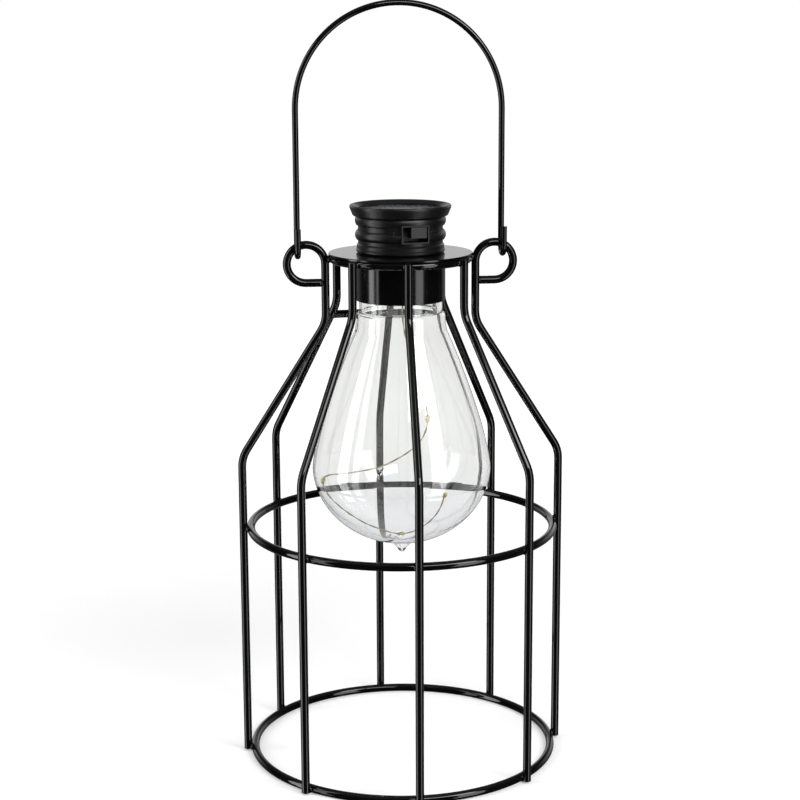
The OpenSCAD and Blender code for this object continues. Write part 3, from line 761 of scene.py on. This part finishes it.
def dark_laminate(here):
    """Two dark blues mixed by noise drawn out along Y and Z, like a weave under lacquer."""
    weave = drawn_grain(here, (1400.0, 300.0, 300.0))
    return {"Base Color": mixed(weave, (0.012, 0.015, 0.024), (0.02, 0.025, 0.04)),
            "Roughness": 0.4 + 0.2 * weave}


def cover_resin(here):
    """Dark film whose shade, roughness and bump follow one soft ripple."""
    ripple = grain(here, 120.0, 2.0)
    return {"Base Color": mixed(ripple, (0.01, 0.012, 0.016), (0.02, 0.022, 0.028)),
            "Roughness": 0.12 + 0.1 * ripple, "height": ripple, "depth": 0.00005}


dress(finish("blue_silicon", silicon, Specular_IOR_Level=0.05), "solar_cells")
dress(finish("panel_laminate", dark_laminate, Specular_IOR_Level=0.05), "solar_panel")
dress(finish("cover_resin", cover_resin, Alpha=COVER_ALPHA), "panel_cover")

# %% [markdown]
# ## Circuit board
# The board and the parts on it are hidden in use, but they show when the cap is taken apart. Fine
# tracks as shapes would never be seen, so a brick pattern stands for them under the lacquer. The
# coil is the only part on the right, so x tells copper from black mouldings.

# %% Board and components
COIL_FROM_X, COIL_TO_X = 2 * MM, 4 * MM
COIL_STEP, COIL_GAP = 0.6 * MM, 0.22 * MM


def green_board(here):
    """Two greens mixed by cloudy noise, with paler raised joints of a fine brick pattern."""
    track = here.node("ShaderNodeTexBrick", inputs={
        "Vector": here, "Scale": 260.0, "Mortar Size": 0.03}, out="Fac")
    cloud = grain(here, 300.0)
    green = mixed(cloud, (0.012, 0.11, 0.045), (0.02, 0.16, 0.065))
    return {"Base Color": mixed(track, green, (0.05, 0.26, 0.11)),
            "Roughness": 0.25 + 0.2 * cloud, "height": track, "depth": 0.00003}


def component_mix(here):
    """Speckled black on the left; on the right, copper with painted shade in the gap at each turn
    of z.
    """
    x, _, z = parts_of(here)
    coil = band(x, COIL_FROM_X, COIL_TO_X)
    # painted shade: darker copper in the groove between the coil's turns
    gap_shade = (z % COIL_STEP) < COIL_GAP
    speck = grain(here, 1500.0)
    copper = mixed(gap_shade, (0.45, 0.2, 0.08), (0.16, 0.06, 0.02))
    black = mixed(speck, (0.012, 0.012, 0.013), (0.03, 0.03, 0.032))
    return {"Base Color": mixed(coil, black, copper),
            "Roughness": 0.45 - 0.15 * coil, "Metallic": 0.9 * coil}


dress(finish("green_board", green_board), "circuit_board")
dress(finish("board_parts", component_mix), "board_components")

# %% [markdown]
# ## Plated metal
# The switch's can, the cell's contacts and the screws are plated steel. One bright metal could
# serve for all three, but each has its own colour and direction of brushing, so one pattern takes
# those as its values.

# %% Metal of the switch, the contacts and the screws
def brushed(sizes, low, high):
    """Pattern of fine lines along the direction with the fewest cells in a metre."""
    def pattern(here):
        lines = drawn_grain(here, sizes, 4.0)
        return {"Base Color": mixed(lines, low, high), "Roughness": 0.22 + 0.22 * lines,
                "height": lines, "depth": 0.00002}
    return pattern


can_lines = brushed((60.0, 900.0, 900.0), (0.42, 0.43, 0.44), (0.6, 0.61, 0.62))
strip_lines = brushed((900.0, 900.0, 60.0), (0.6, 0.59, 0.55), (0.75, 0.74, 0.7))
zinc_grain = brushed((1200.0, 1200.0, 1200.0), (0.5, 0.51, 0.53), (0.68, 0.69, 0.7))
dress(finish("plated_can", can_lines, Metallic=1.0), "switch_body")
dress(finish("nickel_strip", strip_lines, Metallic=1.0), "battery_contacts")
dress(finish("zinc_screw", zinc_grain, Metallic=1.0), cross_screws)

# %% [markdown]
# ## Cell and leads
# The rechargeable cell has a green shrink sleeve with a pale stripe and bare ends, and the leads
# have soft insulation. The sleeve's edges could be separate shapes, but the cell lies along X, so
# its colours follow from the distance along it.

# %% Cell and leads
SLEEVE_HALF, STRIPE_AT, STRIPE_HALF, SLEEVE_EDGE = 13.6 * MM, 9 * MM, 1.6 * MM, 0.2 * MM


def cell_sleeve(here):
    """Green film with a pale stripe at one x, and bare metal beyond the sleeve's two ends."""
    x, _, _ = parts_of(here)
    end = band(abs(x), SLEEVE_HALF, SLEEVE_HALF + SLEEVE_EDGE)
    past_stripe = band(abs(x - STRIPE_AT), STRIPE_HALF, STRIPE_HALF + SLEEVE_EDGE)
    film = grain(here, 260.0)
    green = mixed(film, (0.02, 0.2, 0.07), (0.03, 0.26, 0.1))
    sleeve = mixed(past_stripe, (0.6, 0.6, 0.58), green)
    return {"Base Color": mixed(end, sleeve, (0.62, 0.62, 0.6)),
            "Roughness": 0.22 + 0.14 * film, "Metallic": end}


def insulation(low, high):
    """Pattern of soft plastic between two colours, with a faint ripple."""
    def pattern(here):
        ripple = drawn_grain(here, (300.0, 300.0, 900.0))
        return {"Base Color": mixed(ripple, low, high), "Roughness": 0.35 + 0.2 * ripple,
                "height": ripple, "depth": 0.00002}
    return pattern


red_lead = insulation((0.34, 0.015, 0.015), (0.46, 0.03, 0.03))
black_lead = insulation((0.012, 0.012, 0.012), (0.025, 0.025, 0.025))
dress(finish("green_shrink_sleeve", cell_sleeve), "battery")
dress(finish("red_insulation", red_lead), "panel_leads")
dress(finish("black_insulation", black_lead), "battery_leads")

# %% [markdown]
# ## Copper, resin and chips
# The string's copper is lacquered, so it is less bright than bare metal: a Metallic between 0 and
# 1 gives that without a second layer. The drops are clear resin with a warm tint, and the chips
# in them are yellow powder, which looks dull.

# %% Copper of the light string, resin and chips of its lights
def lacquered_copper(here):
    """Two browns, the roughness and the metal's share all follow one noise, the lacquer."""
    lacquer = grain(here, 800.0)
    return {"Base Color": mixed(lacquer, (0.26, 0.19, 0.11), (0.42, 0.33, 0.2)),
            "Roughness": 0.3 + 0.2 * lacquer, "Metallic": 0.5 + 0.2 * lacquer}


def drop_resin(here):
    """Two warm whites and the roughness follow one noise, the flow of the resin."""
    flow = grain(here, 900.0)
    return {"Base Color": mixed(flow, (0.97, 0.93, 0.8), (0.99, 0.97, 0.88)),
            "Roughness": 0.03 + 0.05 * flow}


def phosphor(here):
    """Two yellows and the roughness follow very fine noise, the powder."""
    powder = grain(here, 4000.0)
    return {"Base Color": mixed(powder, (0.75, 0.55, 0.1), (0.9, 0.72, 0.2)),
            "Roughness": 0.5 + 0.2 * powder}


dress(finish("lacquered_copper", lacquered_copper), light_string, "string_leads")
dress(finish("drop_resin", drop_resin, Transmission_Weight=1.0, IOR=1.5), light_drops)
dress(finish("phosphor_chip", phosphor), light_chips)

# %% [markdown]
# ## Floor
# The light stands on a pale floor that looks white. More lamps would make it white too, but they
# would also bleach the object. So the floor glows for the camera and for rays through glass, a
# little more far from the object, and it keeps the object's shadow near by. Glossy paint looks
# through it to the surroundings, which are darker there.

# %% Floor
FLOOR = 6.0
FLOOR_GREY = 0.8
GLOW_NEAR, GLOW_MORE = 0.28, 0.36
GLOW_FROM, GLOW_TO = 0.15, 0.9

floor_mesh = bpy.data.meshes.new("floor")
floor_corners = FLOOR * np.array([[-1, -1, 0], [1, -1, 0], [1, 1, 0], [-1, 1, 0]])
floor_mesh.from_pydata(floor_corners.tolist(), [], [(0, 1, 2, 3)])
floor = into_scene("floor", floor_mesh)
floor_paint = bpy.data.materials.new("pale_floor")
floor_paint.use_nodes = True
floor_tree = floor_paint.node_tree
floor_tree.nodes.remove(floor_tree.nodes["Principled BSDF"])
ground = Tone(floor_tree)
direct = ground.node("ShaderNodeLightPath", out="Is Camera Ray")
through = direct.sibling("Is Transmission Ray")
glossy = direct.sibling("Is Glossy Ray")
away = ground.node("ShaderNodeVectorMath", {"operation": "LENGTH"},
                   {0: place_of(ground)}, out="Value")
glow = larger(direct, through) * (GLOW_NEAR + GLOW_MORE * band(away, GLOW_FROM, GLOW_TO))
diffuse = ground.node("ShaderNodeBsdfDiffuse", inputs={"Color": (FLOOR_GREY,) * 3 + (1,)})
white = ground.node("ShaderNodeEmission", inputs={"Color": (1, 1, 1, 1), "Strength": glow})
both = ground.node("ShaderNodeAddShader", inputs={0: diffuse, 1: white})
gone = ground.node("ShaderNodeBsdfTransparent")
surface = ground.node("ShaderNodeMixShader", inputs={0: glossy * (1 - through), 1: both, 2: gone})
floor_tree.links.new(surface.socket, floor_tree.nodes["Material Output"].inputs["Surface"])
floor_mesh.materials.append(floor_paint)
print("floor:", 2 * FLOOR, "m wide")

# %% [markdown]
# ## Surroundings
# The room is white to the eye and to glass. What glossy paint reflects is white behind the object
# and dark in front, as in a studio where the camera stands in the dark: that gives black wires
# their thin bright edges. A picture of a studio could do the same, but a few soft steps of the
# direction are enough.

# %% Surroundings
ROOM, ROOM_LOSS = 0.62, 0.44
DARK, WALL_LIGHT, WALL_FOOT, CEILING = 0.02, 0.98, 0.2, 0.25
# start and end of each soft step: how far a direction points to the front, or up
DIM_STEP, WALL_STEP = (-0.2, 0.75), (-0.35, -0.8)
FOOT_STEP, TOP_STEP, CEILING_STEP = (-0.1, 0.06), (0.2, 0.5), (0.45, 0.9)

world =bpy.data.worlds.new("studio")
bpy.context.scene.world = world
world.use_nodes = True
sky = Tone(world.node_tree)
eye = sky.node("ShaderNodeLightPath", out="Is Camera Ray")
clear_view = larger(eye, eye.sibling("Is Transmission Ray"))
mirror = eye.sibling("Is Glossy Ray")
direction = sky.node("ShaderNodeTexCoord", out="Generated")
to_front = float(np.sin(turn)), float(-np.cos(turn)), 0.0
front, up = (sky.node("ShaderNodeVectorMath", {"operation": "DOT_PRODUCT"},
                      {0: direction, 1: axis}, out="Value") for axis in (to_front, (0.0, 0.0, 1.0)))
plain = ROOM - ROOM_LOSS * band(front, *DIM_STEP)
wall_foot = WALL_FOOT + (1 - WALL_FOOT) * band(up, *FOOT_STEP)
behind = band(front, *WALL_STEP) * wall_foot * (1 - band(up, *TOP_STEP))
reflected = DARK + WALL_LIGHT * behind + CEILING * band(up, *CEILING_STEP)
strength = clear_view + (1 - clear_view) * (mirror * reflected + (1 - mirror) * plain)
background = world.node_tree.nodes["Background"]
world.node_tree.links.new(strength.socket, background.inputs["Strength"])
background.inputs["Color"].default_value = (1, 1, 1, 1)
print("surroundings:", len(world.node_tree.nodes), "nodes")

# %% [markdown]
# ## Soft boxes
# Tall soft boxes stand left and right of the camera, and a wide one hangs above on the right: they
# make the long light strips on the bulb, the sleeve and the wires. Spots would make small hard
# dots there, and large areas of light give strips with soft ends.

# %% Soft boxes
LIT_POINT = np.array([0, 0, 0.2])
SOFT_BOXES = [  # name, angle from the camera's side, rise, distance, width, height, radiance
    ("soft_box_left", -60, 0, 1.1, 0.2, 2.0, 3.0),
    ("soft_box_side", -80, 0, 1.1, 0.3, 2.0, 6.0),
    ("soft_box_right", 49, 0, 1.1, 0.4, 2.0, 4.0),
    ("soft_box_top", 32, 30, 1.2, 1.0, 0.32, 9.0)]


def soft_box(name, angle, rise, distance, width, height, radiance):
    """Rectangle of light that faces the object; its power is radiance x pi x area."""
    lamp = bpy.data.lights.new(name, "AREA")
    lamp.shape = "RECTANGLE"
    lamp.size, lamp.size_y = width, height
    lamp.energy = radiance * np.pi * width * height
    box = into_scene(name, lamp)
    round_to, lift = turn + np.radians(angle), np.radians(rise)
    level = np.array([np.sin(round_to), -np.cos(round_to), 0])
    box.location = LIT_POINT + distance * (np.cos(lift) * level + np.sin(lift) * Z_AXIS)
    box.rotation_euler = (np.pi / 2 - lift, 0, round_to)
    print(f"{name}: {lamp.energy:.1f} W")


for box_values in SOFT_BOXES:
    soft_box(*box_values)

# %% [markdown]
# ## Colour view
# The picture keeps plain colours.

# %% Finish
bpy.context.scene.view_settings.view_transform = "Standard"
